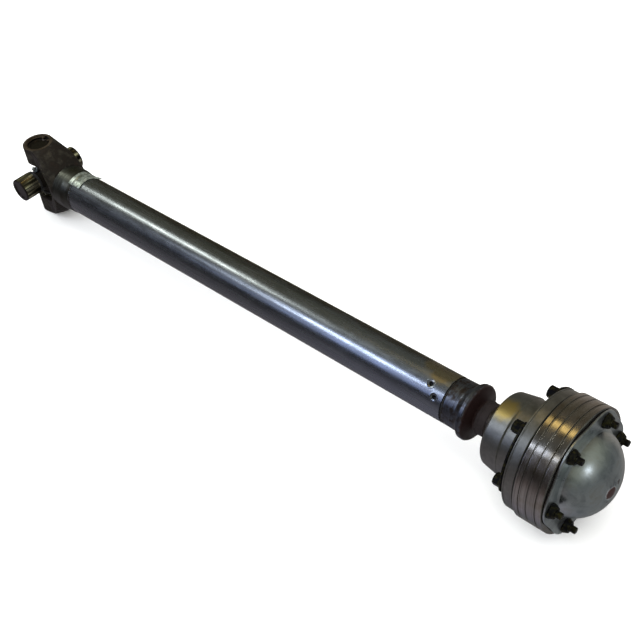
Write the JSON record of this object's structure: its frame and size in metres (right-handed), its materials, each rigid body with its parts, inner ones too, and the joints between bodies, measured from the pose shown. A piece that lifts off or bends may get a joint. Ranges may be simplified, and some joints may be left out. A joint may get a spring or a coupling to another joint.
{
  "type": "universal joint shaft",
  "caption": "Welded tubular propeller shaft with a cardan joint at one end and a bolted ball joint with a can and a domed cap at the other.",
  "frame": {"origin": "on the shaft's axis, halfway between the ends of the yoke's ears and the tip of the dome", "axes": "+X along the shaft towards the domed cap, +Z along the axis of the yoke's ears, +Y completes a right-handed frame"},
  "size_m": [0.7722, 0.1144, 0.1144],
  "materials": {
    "tube_steel": "drawn tube, oily satin",
    "forged_black": "forged, oxidised brown-black",
    "stub_forging": "machined forging, dark blue-grey with a rusty face",
    "weld_bead": "rippled weld bead",
    "strip_steel": "coated strip, rubbed",
    "bearing_steel": "ground bearing steel with oil film",
    "ground_steel": "ground and polished",
    "spring_steel": "phosphated spring steel",
    "machined_steel": "turned bright, fine rings",
    "zinc_plate": "pressed sheet, blue zinc plated, smudged",
    "black_oxide": "black oxide",
    "rubber": "matt moulded rubber",
    "gasket_paper": "oil-soaked gasket paper"
  },
  "bodies": {
    "shaft": {"shaft_tube": "tube_steel", "tube_yoke": "forged_black", "yoke_weld": "weld_bead", "balance_weight": "strip_steel", "stub_shaft": "stub_forging", "stub_weld": "weld_bead", "rubber_boot": "rubber", "boot_clamp": "spring_steel", "inner_race": "machined_steel", "race_snap_ring": "spring_steel", "bearing_cap_upper": "bearing_steel", "bearing_cap_lower": "bearing_steel", "needle_ring_upper": "ground_steel", "needle_ring_lower": "ground_steel", "snap_ring_upper": "spring_steel", "snap_ring_lower": "spring_steel"},
    "cross": {"journal_cross": "forged_black", "grease_nipple": "zinc_plate", "journal_seal_upper": "rubber", "journal_seal_lower": "rubber", "journal_seal_front": "rubber", "journal_seal_rear": "rubber"},
    "front_cap": {"bearing_cap_front": "bearing_steel", "needle_ring_front": "ground_steel"},
    "rear_cap": {"bearing_cap_rear": "bearing_steel", "needle_ring_rear": "ground_steel"},
    "upright_balls": {"cv_ball_3": "ground_steel", "cv_ball_7": "ground_steel"},
    "cage": {"ball_cage": "spring_steel", "cv_ball_2": "ground_steel", "cv_ball_4": "ground_steel", "cv_ball_6": "ground_steel", "cv_ball_8": "ground_steel"},
    "level_balls": {"cv_ball_1": "ground_steel", "cv_ball_5": "ground_steel"},
    "joint_housing": {"outer_race": "machined_steel", "boot_can": "zinc_plate", "can_gasket": "gasket_paper", "dome_gasket": "gasket_paper", "dome_cap": "zinc_plate", "flange_bolt_1": "black_oxide", "flange_bolt_2": "black_oxide", "flange_bolt_3": "black_oxide", "flange_bolt_4": "black_oxide", "flange_bolt_5": "black_oxide", "flange_bolt_6": "black_oxide", "bolt_retainer_1": "black_oxide", "bolt_retainer_2": "black_oxide", "bolt_retainer_3": "black_oxide", "bolt_sleeve_1": "black_oxide", "bolt_sleeve_2": "black_oxide", "bolt_sleeve_3": "black_oxide", "bolt_sleeve_4": "black_oxide", "bolt_sleeve_5": "black_oxide", "bolt_sleeve_6": "black_oxide"}
  },
  "joints": [
    {"name": "cross_swing", "type": "hinge", "parent": "shaft", "child": "cross", "pos_m": [-0.3683, 0, 0], "axis": [0, 0, 1], "range_deg": [-30, 30]},
    {"name": "front_cap_spin", "type": "hinge", "parent": "cross", "child": "front_cap", "pos_m": [-0.3683, -0.03, 0], "axis": [0, 1, 0], "continuous": true},
    {"name": "rear_cap_spin", "type": "hinge", "parent": "cross", "child": "rear_cap", "pos_m": [-0.3683, 0.03, 0], "axis": [0, 1, 0], "continuous": true},
    {"name": "nod_race_side", "type": "hinge", "parent": "shaft", "child": "upright_balls", "pos_m": [0.3414, 0, 0], "axis": [0, 1, 0], "range_deg": [-4.2, 4.2]},
    {"name": "sway_race_side", "type": "hinge", "parent": "upright_balls", "child": "cage", "pos_m": [0.3414, 0, 0], "axis": [0, 0, 1], "range_deg": [-4.2, 4.2]},
    {"name": "nod_housing_side", "type": "hinge", "parent": "cage", "child": "level_balls", "pos_m": [0.3414, 0, 0], "axis": [0, 1, 0], "range_deg": [-4.2, 4.2]},
    {"name": "sway_housing_side", "type": "hinge", "parent": "level_balls", "child": "joint_housing", "pos_m": [0.3414, 0, 0], "axis": [0, 0, 1], "range_deg": [-4.2, 4.2]}
  ],
  "couplings": [
    {"joint": "nod_race_side", "follows": "nod_housing_side", "ratio": 1},
    {"joint": "sway_race_side", "follows": "sway_housing_side", "ratio": 1}
  ]
}
